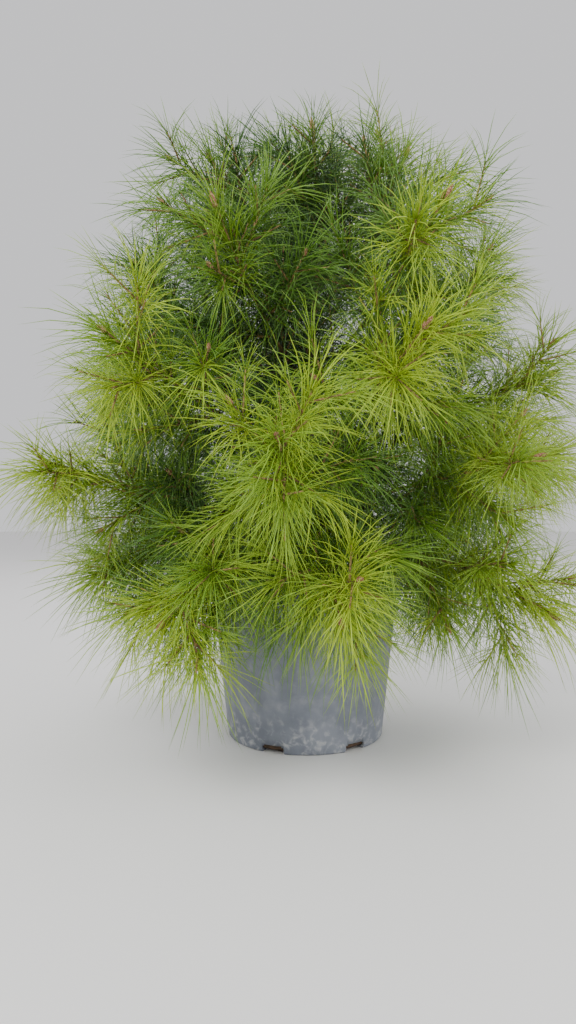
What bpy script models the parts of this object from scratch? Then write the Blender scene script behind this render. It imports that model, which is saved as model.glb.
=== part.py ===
"""A young aleppo pine in a round nursery pot: pot, compost, trunk, boughs and masses of needles.

Metres, +Z up. The origin is the middle of the pot's flat underside, and -Y is the plant's front.
Azimuth 0 is the front and 90 is +X. The tree grows by a seeded rule: each bough is the bare first
part of a branch, and a mass of needles is the rest of that branch with its twigs and sprays.
"""

import math
import random

import bmesh
import bpy
import numpy as np
from mathutils import Vector

# The pot: a three litre nursery container
POT_HEIGHT = 0.155
POT_BASE_RADIUS = 0.0745
POT_NECK_RADIUS = 0.0885
POT_RIM_RADIUS = 0.095
RIM_HEIGHT = 0.019
BEAD = 0.0012
BEAD_HEIGHT = 0.0032
WALL = 0.0015
FLOOR = 0.0020
FLOOR_ROUND = 0.0026
POT_SIDES = 32
DRAIN_COUNT = 6
DRAIN_FIRST_AZIMUTH = -24.0
DRAIN_WIDTH = 0.021
DRAIN_HEIGHT = 0.0075
DRAIN_REACH_IN = 0.013

# Compost and the gap that every touching pair keeps
GAP = 0.0003
SOIL_TOP = 0.1405
SOIL_DISH = 0.0025
SOIL_LEVEL_RADIUS = 0.030
SOIL_CLEAR = 0.0005

# The trunk, pruned at its top
TRUNK_TOP = 0.462
TRUNK_RADIUS = 0.0066
TRUNK_TIP_RADIUS = 0.0024
FLARE_RADIUS = 0.0034
FLARE_HEIGHT = 0.014
TRUNK_LEAN = Vector((0.012, -0.004, 0.0))
TRUNK_SWAY = 0.0035
TRUNK_RINGS = 15

# Branches: the bare share is the bough, and the rest is inside its mass of needles
BARE_SHARE = 0.30
BRANCH_STEPS = 15
BOUGH_TAPER = 0.62
KNEE_SHARE = 0.46
KNEE_RISE = 0.18
SEED = 41

# Twigs and sprays of a mass. A spray is a slim core whose faces are drawn out to needles
TWIGS = 4
TWIG_LENGTH = 0.080
TWIG_LEAN = 50.0
TWIG_LIFT = 0.16
GOLDEN_ANGLE = 137.5
STEM_RADIUS = 0.0015
CORE_RADIUS = 0.0042
SPRAY_SWELL = (0.3, 0.3, 0.9, 1.0, 0.8, 0.0)
SPRAY_STEPS = len(SPRAY_SWELL) - 1
STEM_STEPS = 4
TIP_SPRAY_START = 0.52
SPRAY_ROOT = 0.05
BARE_TWIG = 0.16
NEEDLE_LENGTH = 0.066
NEEDLE_SPREAD = 0.16
NEEDLE_LEAN_FIRST = 74.0
NEEDLE_LEAN_LAST = 18.0
NEEDLE_LEAN_SPREAD = 4.0
NEEDLE_RISE = 0.25
NEEDLE_TRIMS = (1.0, 0.85, 0.7, 0.55)
SPACE_MARGIN = 0.0030
LIMB_MARGIN = 0.0022
SPRAY_SLACK = 0.001
POT_MARGIN = 0.004
LOWEST_TIP = 0.055

SIDES_TRUNK = 12
SIDES_BOUGH = 6
SIDES_CORE = 5
CORE_TWIST = math.pi / SIDES_CORE
SIDES_STEM = 3
WELD = 1e-6


class Tier:
    """One whorl: where its branches leave the trunk, and the radius and height that their tips reach."""

    def __init__(self, name, azimuths, start, reach, tip, crest, radius, droop):
        self.name = name
        self.azimuths = azimuths
        self.start = start
        self.reach = reach
        self.tip = tip
        self.crest = crest
        self.radius = radius
        self.droop = droop


TIERS = (
    Tier("skirt", (-90, -36, 8, 62, 125, 198), 0.172, 0.208, 0.140, 0.036, 0.0030, 0.50),
    Tier("low", (-74, -8, 48, 98, 160, 232), 0.205, 0.232, 0.265, 0.016, 0.0030, 0.24),
    Tier("middle", (-100, -42, 16, 80, 190), 0.262, 0.216, 0.345, 0.012, 0.0027, 0.12),
    Tier("upper", (-88, -26, 34, 100, 190), 0.335, 0.172, 0.452, 0.006, 0.0023, 0.05),
    Tier("crown", (-76, 66, 186), 0.412, 0.094, 0.540, 0.004, 0.0020, 0.0),
)
TOP_NAME = "top_1"
TOP_REACH = Vector((-0.012, 0.004, 0.090))
TOP_DROOP = 0.0


def outward(azimuth):
    angle = math.radians(azimuth)
    return Vector((math.sin(angle), -math.cos(angle), 0.0))


def bezier(a, b, c, steps):
    """Points of the quadratic curve from a to c, drawn towards b."""
    shares = [i / steps for i in range(steps + 1)]
    return [a * (1 - t) ** 2 + b * (2 * t * (1 - t)) + c * t**2 for t in shares]


def along(points, share):
    """The point and the direction at a share of a path whose points are evenly numbered."""
    place = min(max(share, 0.0), 1.0) * (len(points) - 1)
    i = min(int(place), len(points) - 2)
    step = points[i + 1] - points[i]
    return points[i] + step * (place - i), step.normalized()


def part_of(points, first, last, steps):
    return [along(points, first + (last - first) * i / steps)[0] for i in range(steps + 1)]


def trunk_point(height):
    """The trunk's middle line: upright at the compost, then swaying and leaning more with height."""
    share = (height - SOIL_TOP) / (TRUNK_TOP - SOIL_TOP)
    sway = TRUNK_SWAY * math.sin(2.3 * math.pi * share) * share
    return Vector((sway, sway * 0.6, height)) + TRUNK_LEAN * share**1.6


def trunk_radius(height):
    share = (height - SOIL_TOP) / (TRUNK_TOP - SOIL_TOP)
    flare = FLARE_RADIUS * math.exp(-(height - SOIL_TOP) / FLARE_HEIGHT)
    return TRUNK_RADIUS + (TRUNK_TIP_RADIUS - TRUNK_RADIUS) * share**0.85 + flare


class Branch:
    """A branch of the trunk: its whole path, the bare bough and the stem inside its needles."""

    def __init__(self, name, path, radius, droop, seed, bare=BARE_SHARE):
        self.name = name
        self.path = path
        self.radius = radius
        self.droop = droop
        self.seed = seed
        length = sum((b - a).length for a, b in zip(path, path[1:]))
        gap_share = GAP / length
        self.bough = part_of(path, 0.0, bare, 3) if bare else None
        self.stem = part_of(path, bare + gap_share if bare else 0.0, 1.0, 6)
        self.stem_radius = radius * BOUGH_TAPER if bare else radius


def grow_branches():
    """Every branch, by tier and azimuth, with the seeded unevenness of a real whorl."""
    branches = []
    for number, tier in enumerate(TIERS):
        for k, azimuth in enumerate(tier.azimuths):
            draw = random.Random(SEED + 100 * number + k)
            side = outward(azimuth + draw.uniform(-4, 4))
            height = tier.start + draw.uniform(-0.010, 0.010)
            reach = tier.reach * draw.uniform(0.93, 1.07)
            tip = side * reach + TRUNK_LEAN * 0.5
            tip.z = tier.tip + draw.uniform(-0.014, 0.014)
            run = reach * KNEE_SHARE
            rise = tier.crest + KNEE_RISE * (tip.z - height)
            tilt = tier.radius * abs(rise) / math.hypot(run, rise)
            foot = trunk_point(height) + side * (trunk_radius(height) + GAP + tilt)
            knee = foot + side * run + Vector((0, 0, rise))
            path = bezier(foot, knee, tip, BRANCH_STEPS)
            name = f"{tier.name}_{k + 1}"
            branches.append(Branch(name, path, tier.radius, tier.droop, draw.random()))
    rising = (trunk_point(TRUNK_TOP) - trunk_point(TRUNK_TOP - TRUNK_RADIUS)).normalized()
    head = trunk_point(TRUNK_TOP) + rising * GAP
    tip = head + TOP_REACH
    path = bezier(head, head + rising * (TOP_REACH.z / 2), tip, BRANCH_STEPS)
    branches.append(Branch(TOP_NAME, path, TRUNK_TIP_RADIUS * 0.9, TOP_DROOP, 0.5, bare=0.0))
    return branches


class Space:
    """Tells whether a strand keeps to its own mass and stays clear of limbs and pot."""

    def __init__(self, branches):
        samples = [part_of(b.stem, 0.0, 1.0, 14) for b in branches]
        self.stems = [np.array(s) for s in samples]
        limbs = []
        for b in branches:
            if b.bough:
                limbs += [(p, b.radius) for p in part_of(b.bough, 0.0, 1.0, 24)]
        heights = np.linspace(SOIL_TOP, TRUNK_TOP, 90)
        limbs += [(trunk_point(z), trunk_radius(z)) for z in heights]
        self.limbs = np.array([p for p, _ in limbs])
        self.limb_radii = np.array([r for _, r in limbs])

    def clear(self, mass, strand):
        points = np.array(part_of(strand, 0.0, 1.0, 12))
        near = [distances(points, stem).min(axis=1) for stem in self.stems]
        others = np.min([d for i, d in enumerate(near) if i != mass], axis=0)
        if np.any(near[mass] + SPACE_MARGIN > others):
            return False
        reach = distances(points, self.limbs) - self.limb_radii
        if np.any(reach < LIMB_MARGIN):
            return False
        if points[:, 2].min() < LOWEST_TIP:
            return False
        from_axis = np.hypot(points[:, 0], points[:, 1])
        in_pot = (from_axis < POT_RIM_RADIUS + POT_MARGIN) & (points[:, 2] < POT_HEIGHT + POT_MARGIN)
        return not np.any(in_pot)


def distances(points, others):
    return np.linalg.norm(points[:, None] - others[None], axis=2)


def side_axes(direction):
    first = direction.cross(Vector((0.0, 0.0, 1.0)))
    if first.length < 0.1:
        first = direction.cross(Vector((1.0, 0.0, 0.0)))
    first.normalize()
    return first, direction.cross(first).normalized()


def leaning(direction, lean, roll):
    """A direction that leans from another by one angle, turned round it by the other."""
    a, b = side_axes(direction)
    lean, roll = math.radians(lean), math.radians(roll)
    return direction * math.cos(lean) + (a * math.cos(roll) + b * math.sin(roll)) * math.sin(lean)


def grow_twigs(mass, branch, space):
    """The side twigs of a mass that fit in its space, each a short bowed path."""
    draw = random.Random(int(branch.seed * 1e6))
    twist = draw.uniform(0, 360)
    twigs = []
    for k in range(TWIGS):
        share = 0.05 + 0.5 * k / (TWIGS - 1)
        foot, direction = along(branch.stem, share)
        heading = leaning(direction, TWIG_LEAN, twist + GOLDEN_ANGLE * k)
        for trim in (1.0, 0.8, 0.62):
            length = TWIG_LENGTH * trim * (1.08 - 0.3 * share)
            end = foot + heading * length + Vector((0, 0, TWIG_LIFT - branch.droop * 0.5)) * length
            path = bezier(foot, foot + heading * length * 0.55, end, SPRAY_STEPS)
            if space.clear(mass, path[1:]):
                twigs.append(path)
                break
    return twigs


def draw_out_needles(mesh, path, others, mass, branch, space, draw):
    """Pokes each face of a spray's core that lies past its bare foot, and pulls the new point out
    to a needle's tip: swept wide at the foot of the spray and close at its end. A needle stays
    nearer to its own spray than to the others, but for a slack, so that few of a mass cross."""
    own = np.array(part_of(path, 0.0, 1.0, 12))
    shape = bmesh.new()
    shape.from_mesh(mesh)
    steps = len(path) - 1
    count = 0
    for face in list(shape.faces):
        centre = face.calc_center_median()
        i = min(range(steps), key=lambda k: (centre - (path[k] + path[k + 1]) / 2).length)
        share = (i + 0.5) / steps
        if share < BARE_TWIG or len(face.verts) > 4:
            continue
        direction = (path[i + 1] - path[i]).normalized()
        away = centre - path[i]
        away = (away - direction * away.dot(direction)).normalized()
        lean = NEEDLE_LEAN_FIRST + (NEEDLE_LEAN_LAST - NEEDLE_LEAN_FIRST) * share
        lean = math.radians(lean + draw.uniform(-NEEDLE_LEAN_SPREAD, NEEDLE_LEAN_SPREAD))
        heading = direction * math.cos(lean) + away * math.sin(lean)
        heading = (heading - Vector((0, 0, branch.droop))).normalized()
        heading += face.normal * max(NEEDLE_RISE - heading.dot(face.normal), 0.0)
        length = NEEDLE_LENGTH * draw.uniform(1 - NEEDLE_SPREAD, 1 + NEEDLE_SPREAD)
        for trim in NEEDLE_TRIMS:
            tip = centre + heading * length * trim
            outer = np.array(part_of([centre, tip], 0.3, 1.0, 5))
            crossing = distances(outer, own).min(axis=1) > distances(outer, others).min(axis=1) + SPRAY_SLACK
            if not crossing.any() and space.clear(mass, [centre, tip]):
                poked = bmesh.ops.poke(shape, faces=[face])
                poked["verts"][0].co = tip
                count += 1
                break
    shape.to_mesh(mesh)
    shape.free()
    return count


def profile(name, sides):
    """A regular outline of unit radius, which a curve's point radii then scale."""
    curve = bpy.data.curves.new(name, "CURVE")
    spline = curve.splines.new("POLY")
    spline.points.add(sides - 1)
    for i, point in enumerate(spline.points):
        angle = 2 * math.pi * i / sides
        point.co = (math.cos(angle), math.sin(angle), 0, 1)
    spline.use_cyclic_u = True
    guide = bpy.data.objects.new(name, curve)
    guides.objects.link(guide)
    return guide


def strands(name, paths, outline, collection, twist=0.0):
    """One closed mesh object for each path, given as points and radii, swept by the outline.
    The outline turns by twist, in radians, from each point of a path to the next."""
    curve = bpy.data.curves.new(name, "CURVE")
    curve.dimensions = "3D"
    curve.bevel_mode = "OBJECT"
    curve.bevel_object = outline
    curve.use_fill_caps = True
    for points, radii in paths:
        spline = curve.splines.new("POLY")
        spline.points.add(len(points) - 1)
        for number, (point, place, radius) in enumerate(zip(spline.points, points, radii)):
            point.co = (*place, 1)
            point.radius = radius
            point.tilt = twist * number
    drawn = bpy.data.objects.new(name, curve)
    collection.objects.link(drawn)
    mesh = bpy.data.meshes.new_from_object(drawn.evaluated_get(bpy.context.evaluated_depsgraph_get()))
    bpy.data.objects.remove(drawn)
    bpy.data.curves.remove(curve)
    return [link(f"{name}_{i}", piece, collection) for i, piece in enumerate(islands(mesh, WELD))]


def islands(mesh, weld=0.0):
    """A mesh's loose parts as meshes of their own, welded and made to face out first where asked."""
    whole = bmesh.new()
    whole.from_mesh(mesh)
    if weld:
        bmesh.ops.remove_doubles(whole, verts=whole.verts, dist=weld)
        bmesh.ops.recalc_face_normals(whole, faces=whole.faces)
    found = []
    left = set(whole.faces)
    while left:
        group = {left.pop()}
        edge = set(group)
        while edge:
            edge = {f for face in edge for e in face.edges for f in e.link_faces} & left
            left -= edge
            group |= edge
        found.append(sorted(group, key=lambda face: face.index))
    pieces = [mesh_of(group, mesh.name) for group in sorted(found, key=lambda group: group[0].index)]
    whole.free()
    return pieces


def mesh_of(faces, name):
    numbers = {}
    for face in faces:
        for vertex in face.verts:
            numbers.setdefault(vertex, len(numbers))
    mesh = bpy.data.meshes.new(name)
    mesh.from_pydata([v.co for v in numbers], [], [[numbers[v] for v in f.verts] for f in faces])
    return mesh


def link(name, mesh, collection):
    obj = bpy.data.objects.new(name, mesh)
    collection.objects.link(obj)
    return obj


def fuse(name, pieces, collection):
    """The union of the pieces as one body, with loose scraps dropped and sealed hollows filled."""
    body = pieces[0]
    if len(pieces) > 1:
        joining = bpy.data.collections.new(name)
        bpy.context.scene.collection.children.link(joining)
        for piece in pieces[1:]:
            collection.objects.unlink(piece)
            joining.objects.link(piece)
        union = body.modifiers.new("fused", "BOOLEAN")
        union.operation = "UNION"
        union.operand_type = "COLLECTION"
        union.collection = joining
        union.solver = "MANIFOLD"
        fused = bpy.data.meshes.new_from_object(body.evaluated_get(bpy.context.evaluated_depsgraph_get()))
        body.modifiers.clear()
        for piece in list(joining.objects):
            bpy.data.objects.remove(piece)
        bpy.data.collections.remove(joining)
    else:
        fused = body.data
    bpy.data.objects.remove(body)
    bodies = sorted(islands(fused), key=volume_of)
    return link(name, bodies[-1], collection)


def volume_of(mesh):
    shape = bmesh.new()
    shape.from_mesh(mesh)
    volume = shape.calc_volume()
    shape.free()
    return volume


def finish(name, colour, roughness, metallic=0.0):
    material = bpy.data.materials.new(name)
    material.use_nodes = True
    shader = material.node_tree.nodes["Principled BSDF"]
    shader.inputs["Base Color"].default_value = (*colour, 1)
    shader.inputs["Roughness"].default_value = roughness
    shader.inputs["Metallic"].default_value = metallic
    material.diffuse_color = (*colour, 1)
    return material


def turned(name, outline, sides):
    """A profile in X and Z, from top to bottom on its outer side, turned about the Z axis."""
    mesh = bpy.data.meshes.new(name)
    edges = [(i, i + 1) for i in range(len(outline) - 1)]
    mesh.from_pydata([(r, 0, z) for r, z in outline], edges, [])
    obj = link(name, mesh, plant)
    screw = obj.modifiers.new("turned", "SCREW")
    screw.steps = screw.render_steps = sides
    screw.use_merge_vertices = True
    screw.merge_threshold = WELD
    screw.use_smooth_shade = True
    return obj


def inner_profile():
    """The inside of the pot from its floor's edge up to its rim, as radius and height."""
    shoulder = POT_HEIGHT - RIM_HEIGHT
    return [
        (POT_BASE_RADIUS - WALL - FLOOR_ROUND, FLOOR),
        (POT_BASE_RADIUS - WALL, FLOOR + FLOOR_ROUND),
        (POT_NECK_RADIUS - WALL, shoulder),
        (POT_RIM_RADIUS - BEAD - WALL, shoulder + WALL),
        (POT_RIM_RADIUS - WALL, POT_HEIGHT - BEAD_HEIGHT),
        (POT_RIM_RADIUS - WALL, POT_HEIGHT),
    ]


def make_pot():
    shoulder = POT_HEIGHT - RIM_HEIGHT
    outside = [
        (POT_RIM_RADIUS, POT_HEIGHT),
        (POT_RIM_RADIUS, POT_HEIGHT - BEAD_HEIGHT),
        (POT_RIM_RADIUS - BEAD, POT_HEIGHT - BEAD_HEIGHT - BEAD),
        (POT_RIM_RADIUS - BEAD, shoulder),
        (POT_NECK_RADIUS, shoulder - WALL),
        (POT_BASE_RADIUS, FLOOR_ROUND),
        (POT_BASE_RADIUS - FLOOR_ROUND, 0.0),
        (0.0, 0.0),
    ]
    inside = [(0.0, FLOOR), *inner_profile()]
    pot = turned("pot", [*outside, *inside, outside[0]], POT_SIDES)
    for k in range(DRAIN_COUNT):
        cutter = drain_cutter(k)
        cut = pot.modifiers.new(cutter.name, "BOOLEAN")
        cut.operation = "DIFFERENCE"
        cut.object = cutter
    return pot


def drain_cutter(k):
    """A drain opening, cut through the corner where the wall meets the floor."""
    bpy.ops.mesh.primitive_cube_add(size=1)
    cutter = bpy.context.object
    cutter.name = f"drain_{k + 1}"
    outside = 0.01
    cutter.dimensions = (DRAIN_WIDTH, DRAIN_REACH_IN + outside, 2 * DRAIN_HEIGHT)
    azimuth = DRAIN_FIRST_AZIMUTH + 360 * k / DRAIN_COUNT
    cutter.location = outward(azimuth) * (POT_BASE_RADIUS + (outside - DRAIN_REACH_IN) / 2)
    cutter.rotation_euler.z = math.radians(azimuth)
    cutter.hide_render = True
    cutter.display_type = "WIRE"
    for collection in list(cutter.users_collection):
        collection.objects.unlink(cutter)
    guides.objects.link(cutter)
    return cutter


def make_soil():
    """The compost: it fills the pot to just under the rim, level round the trunk and dished at the wall."""
    floor, corner, neck, ledge = inner_profile()[:4]
    outline = [
        (0.0, SOIL_TOP),
        (SOIL_LEVEL_RADIUS, SOIL_TOP),
        (ledge[0] - GAP, SOIL_TOP - SOIL_DISH),
        (ledge[0] - GAP, ledge[1] + SOIL_CLEAR),
        (neck[0] - GAP, neck[1] + SOIL_CLEAR),
        (corner[0] - GAP, corner[1] + GAP),
        (floor[0] - GAP, FLOOR + GAP),
        (0.0, FLOOR + GAP),
    ]
    return turned("soil", outline, POT_SIDES)


def make_trunk():
    first, last = SOIL_TOP + GAP, TRUNK_TOP
    shares = [(i / (TRUNK_RINGS - 1)) ** 1.5 for i in range(TRUNK_RINGS)]
    heights = [first + (last - first) * share for share in shares]
    path = ([trunk_point(z) for z in heights], [trunk_radius(z) for z in heights])
    trunk = strands("trunk", [path], trunk_outline, plant)[0]
    trunk.name = "trunk"
    return trunk


def make_bough(branch):
    count = len(branch.bough)
    ends = branch.radius, branch.radius * BOUGH_TAPER
    radii = [ends[0] + (ends[1] - ends[0]) * i / (count - 1) for i in range(count)]
    bough = strands("bough_" + branch.name, [(branch.bough, radii)], bough_outline, plant)[0]
    bough.name = "bough_" + branch.name
    return bough


def make_mass(number, branch, space):
    """The stem of a mass, and its sprays fused on: the one at its tip and those of its side twigs."""
    draw = random.Random(int(branch.seed * 1e6) + 7)
    radii = [branch.stem_radius + (STEM_RADIUS - branch.stem_radius) * i / STEM_STEPS
             for i in range(STEM_STEPS + 1)]
    stem_path = part_of(branch.stem, 0.0, TIP_SPRAY_START + SPRAY_ROOT, STEM_STEPS)
    name = "needles_" + branch.name
    pieces = strands(name + "_stem", [(stem_path, radii)], stem_outline, plant)
    paths = [part_of(branch.stem, TIP_SPRAY_START, 1.0, SPRAY_STEPS), *grow_twigs(number, branch, space)]
    swell = [CORE_RADIUS * share for share in SPRAY_SWELL]
    count = 0
    sprays = []
    for path in paths:
        sprays += strands(name + "_spray", [(path, swell)], core_outline, plant, CORE_TWIST)
        others = [p for other in paths if other is not path for p in part_of(other, 0.1, 1.0, 12)]
        count += draw_out_needles(sprays[-1].data, path, np.array(others), number, branch, space, draw)
    return fuse(name, pieces + sprays, plant), count


for old in list(bpy.data.objects):
    bpy.data.objects.remove(old)

plant = bpy.data.collections.new("potted_aleppo_pine")
guides = bpy.data.collections.new("guides")
guides.hide_render = True
for group in (plant, guides):
    bpy.context.scene.collection.children.link(group)

trunk_outline = profile("trunk_outline", SIDES_TRUNK)
bough_outline = profile("bough_outline", SIDES_BOUGH)
core_outline = profile("core_outline", SIDES_CORE)
stem_outline = profile("stem_outline", SIDES_STEM)

grey_plastic = finish("grey_plastic", (0.30, 0.32, 0.35), 0.55)
compost = finish("compost", (0.055, 0.038, 0.026), 0.95)
bark = finish("bark", (0.30, 0.19, 0.11), 0.85)
foliage = finish("foliage", (0.20, 0.37, 0.06), 0.5)

make_pot().data.materials.append(grey_plastic)
make_soil().data.materials.append(compost)
make_trunk().data.materials.append(bark)
branches = grow_branches()
space = Space(branches)
total = 0
for number, branch in enumerate(branches):
    if branch.bough:
        make_bough(branch).data.materials.append(bark)
    mass, needles = make_mass(number, branch, space)
    mass.data.materials.append(foliage)
    total += needles
print(len(branches), "masses,", total, "needles")
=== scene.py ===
# %% [markdown]
# # A young pine in a nursery pot
# The plant is about 0.6 m tall: a plastic pot, compost, a woody stem with boughs, and several tens of
# thousands of needles. The measured model is loaded first and stays fixed, and every piece below is laid
# over it. Lengths are metres, Z is up and -Y is the plant's front.

# %% Load the fixed frame
import math
import random

import bmesh
import bpy
import numpy as np
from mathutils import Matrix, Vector, noise


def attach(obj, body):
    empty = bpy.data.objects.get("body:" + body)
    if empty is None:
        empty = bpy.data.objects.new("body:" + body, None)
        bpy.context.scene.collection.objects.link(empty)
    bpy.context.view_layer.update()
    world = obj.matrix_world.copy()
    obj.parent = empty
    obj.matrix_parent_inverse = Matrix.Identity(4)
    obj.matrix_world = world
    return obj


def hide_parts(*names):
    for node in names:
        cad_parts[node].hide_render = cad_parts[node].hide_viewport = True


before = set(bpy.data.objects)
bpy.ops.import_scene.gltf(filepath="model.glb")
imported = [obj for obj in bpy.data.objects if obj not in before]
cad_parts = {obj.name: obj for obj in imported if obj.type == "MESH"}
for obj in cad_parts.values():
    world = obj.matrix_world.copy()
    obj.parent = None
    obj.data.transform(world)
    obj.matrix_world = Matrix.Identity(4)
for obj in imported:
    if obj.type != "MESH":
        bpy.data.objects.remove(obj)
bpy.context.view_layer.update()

# %% [markdown]
# ## Camera
# A phone camera looked at the pot from 0.72 m away, a little above the soil and almost level. Its wide
# lens makes the near needles large. The long side of the picture spans the 36 mm sensor, so a focal
# length in pixels turns into a lens by the ratio of the two.

# %% Set the camera
LONG_SIDE_PX = 1024
FOCAL_PX = 740.0
SENSOR = 36.0
CAMERA_PLACE = (-0.0165, -0.72, 0.2194)
CAMERA_PITCH = math.radians(89.5)

scene = bpy.context.scene
camera = bpy.data.objects.new("camera", bpy.data.cameras.new("camera"))
camera.data.sensor_width = SENSOR
camera.data.lens = FOCAL_PX * SENSOR / LONG_SIDE_PX
camera.data.clip_start = 0.01
camera.location = CAMERA_PLACE
camera.rotation_euler = (CAMERA_PITCH, 0, 0)
scene.collection.objects.link(camera)
scene.camera = camera
print("lens", round(camera.data.lens, 1), "mm")

# %% [markdown]
# ## Studio
# The plant stands on a plain pale floor in soft daylight. One large lamp hangs high in front on the
# left, a weaker one fills from the right, and the world lights the rest evenly, so that the gaps between
# the needles go dark without any hard shadow.

# %% Build the floor and the lamps
FLOOR_RADIUS = 6.0
FLOOR_SIDES = 96
FLOOR_COLOUR = (0.80, 0.79, 0.78)
CROWN_MIDDLE = (0, 0, 0.33)
LAMPS = {  # name: place, size and power in watts
    "key": ((-0.9, -1.3, 1.7), 1.4, 46),
    "fill": ((1.5, -0.8, 0.9), 1.6, 16),
    "back": ((0.4, 1.5, 1.5), 1.6, 14),
}
WORLD_COLOUR = (0.86, 0.86, 0.88, 1)
WORLD_STRENGTH = 1.0


def lamp(name, place, size, power):
    """A square soft lamp that faces the middle of the crown."""
    light = bpy.data.lights.new(name, "AREA")
    light.size, light.energy = size, power
    holder = bpy.data.objects.new(name, light)
    holder.location = place
    holder.rotation_euler = (Vector(CROWN_MIDDLE) - Vector(place)).to_track_quat("-Z", "Y").to_euler()
    scene.collection.objects.link(holder)


world = bpy.data.worlds.new("soft_daylight")
world.use_nodes = True
world.node_tree.nodes["Background"].inputs["Color"].default_value = WORLD_COLOUR
world.node_tree.nodes["Background"].inputs["Strength"].default_value = WORLD_STRENGTH
scene.world = world
for name, (place, size, power) in LAMPS.items():
    lamp(name, place, size, power)

floor_shape = bmesh.new()
bmesh.ops.create_circle(floor_shape, cap_ends=True, segments=FLOOR_SIDES, radius=FLOOR_RADIUS)
floor_mesh = bpy.data.meshes.new("floor")
floor_shape.to_mesh(floor_mesh)
floor_shape.free()
floor = bpy.data.objects.new("floor", floor_mesh)
scene.collection.objects.link(floor)
print("floor and", len(LAMPS), "lamps")

# %% [markdown]
# ## A small kit for materials
# A material is a graph of nodes, but its maths reads best as an expression. `Value` wraps a socket, and
# adding or multiplying two of them adds a Math node. `Finish` is one material: its `node` method adds any
# other node, with its settings first and its sockets second.


# %% Wrap sockets and materials
class Value:
    """A number on its way through a material. Its operators add Math nodes."""

    def __init__(self, finish, socket):
        self.finish = finish
        self.socket = socket

    def maths(self, operation, *values):
        return self.finish.node("ShaderNodeMath", {"operation": operation}, dict(enumerate(values)))

    def __add__(self, other):
        return self.maths("ADD", self, other)

    def __sub__(self, other):
        return self.maths("SUBTRACT", self, other)

    def __rsub__(self, other):
        return self.maths("SUBTRACT", other, self)

    def __mul__(self, other):
        return self.maths("MULTIPLY", self, other)

    def ramp(self, low, high):
        """0 below low, 1 above high and smooth between them."""
        ends = {"From Min": low, "From Max": high}
        smooth = {"interpolation_type": "SMOOTHSTEP"}
        return self.finish.node("ShaderNodeMapRange", smooth, {"Value": self, **ends})

    __radd__ = __add__
    __rmul__ = __mul__


class Finish:
    """One material with a Principled shader."""

    def __init__(self, name, colour=(0.8, 0.8, 0.8), roughness=0.6):
        self.material = bpy.data.materials.new(name)
        self.material.use_nodes = True
        self.tree = self.material.node_tree
        self.shader = self.tree.nodes["Principled BSDF"]
        self.set(**{"Base Color": (*colour, 1), "Roughness": roughness})

    def set(self, **sockets):
        for name, value in sockets.items():
            self.join(self.shader.inputs[name], value)
        return self

    def join(self, socket, value):
        if isinstance(value, Value):
            self.tree.links.new(value.socket, socket)
        else:
            socket.default_value = value

    def node(self, kind, settings=None, sockets=None, output=0):
        made = self.tree.nodes.new(kind)
        for name, value in (settings or {}).items():
            setattr(made, name, value)
        for name, value in (sockets or {}).items():
            self.join(made.inputs[name], value)
        return Value(self, made.outputs[output])

    def place(self, scale=(1, 1, 1)):
        """The point on the piece in metres, stretched by the scale."""
        point = self.node("ShaderNodeTexCoord", output="Object")
        return self.node("ShaderNodeMapping", {}, {"Vector": point, "Scale": scale})

    def noise(self, scale, detail=4.0, stretch=(1, 1, 1), distortion=0.0):
        sockets = {"Vector": self.place(stretch), "Scale": scale, "Detail": detail, "Distortion": distortion}
        return self.node("ShaderNodeTexNoise", {}, sockets)

    def cells(self, scale, stretch=(1, 1, 1)):
        return self.node("ShaderNodeTexVoronoi", {}, {"Vector": self.place(stretch), "Scale": scale})

    def height(self):
        point = self.node("ShaderNodeTexCoord", output="Object")
        return self.node("ShaderNodeSeparateXYZ", {}, {0: point}, output="Z")

    def mix(self, share, first, second):
        """A colour between two others, each a colour or the result of a mix."""
        full = lambda c: c if isinstance(c, Value) else (*c, 1)
        sockets = {0: share, 6: full(first), 7: full(second)}
        return self.node("ShaderNodeMix", {"data_type": "RGBA"}, sockets, output=2)

    def bump(self, height, distance, strength=1.0):
        sockets = {"Height": height, "Distance": distance, "Strength": strength}
        return self.node("ShaderNodeBump", {}, sockets)


floor.data.materials.append(Finish("pale_floor", FLOOR_COLOUR, 0.7).material)
print("material kit ready")

# %% [markdown]
# ## Pieces
# Each piece is one object at the origin with its place in its mesh. It rides on the plant's only body,
# takes its finish from a named slot, and may stand for nodes of the measured model, which are then hidden.


# %% Add pieces to the plant
def add_piece(name, mesh, material, replaced=(), smooth=True):
    """Puts a mesh in the scene as a finished piece."""
    mesh.name = name
    mesh.materials.clear()
    mesh.materials.append(material)
    mesh.polygons.foreach_set("material_index", np.zeros(len(mesh.polygons), dtype=np.int32))
    mesh.polygons.foreach_set("use_smooth", np.full(len(mesh.polygons), smooth))
    piece = bpy.data.objects.new(name, mesh)
    scene.collection.objects.link(piece)
    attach(piece, "root")
    if replaced:
        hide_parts(*replaced)
    mesh.calc_loop_triangles()
    print(f"{name}: {len(mesh.loop_triangles)} triangles")
    return piece


def nodes_named(*prefixes):
    return [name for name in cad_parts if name.startswith(prefixes)]


# %% [markdown]
# ## The pot
# A thin moulded pot is a shape of revolution: a profile of the wall, turned round the axis. Its real
# walls have rounded corners, a rim band with a rolled edge and six drain notches at the foot. The profile
# is turned in mesh code with many sides, and cubes are cut from it with Booleans.

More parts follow.
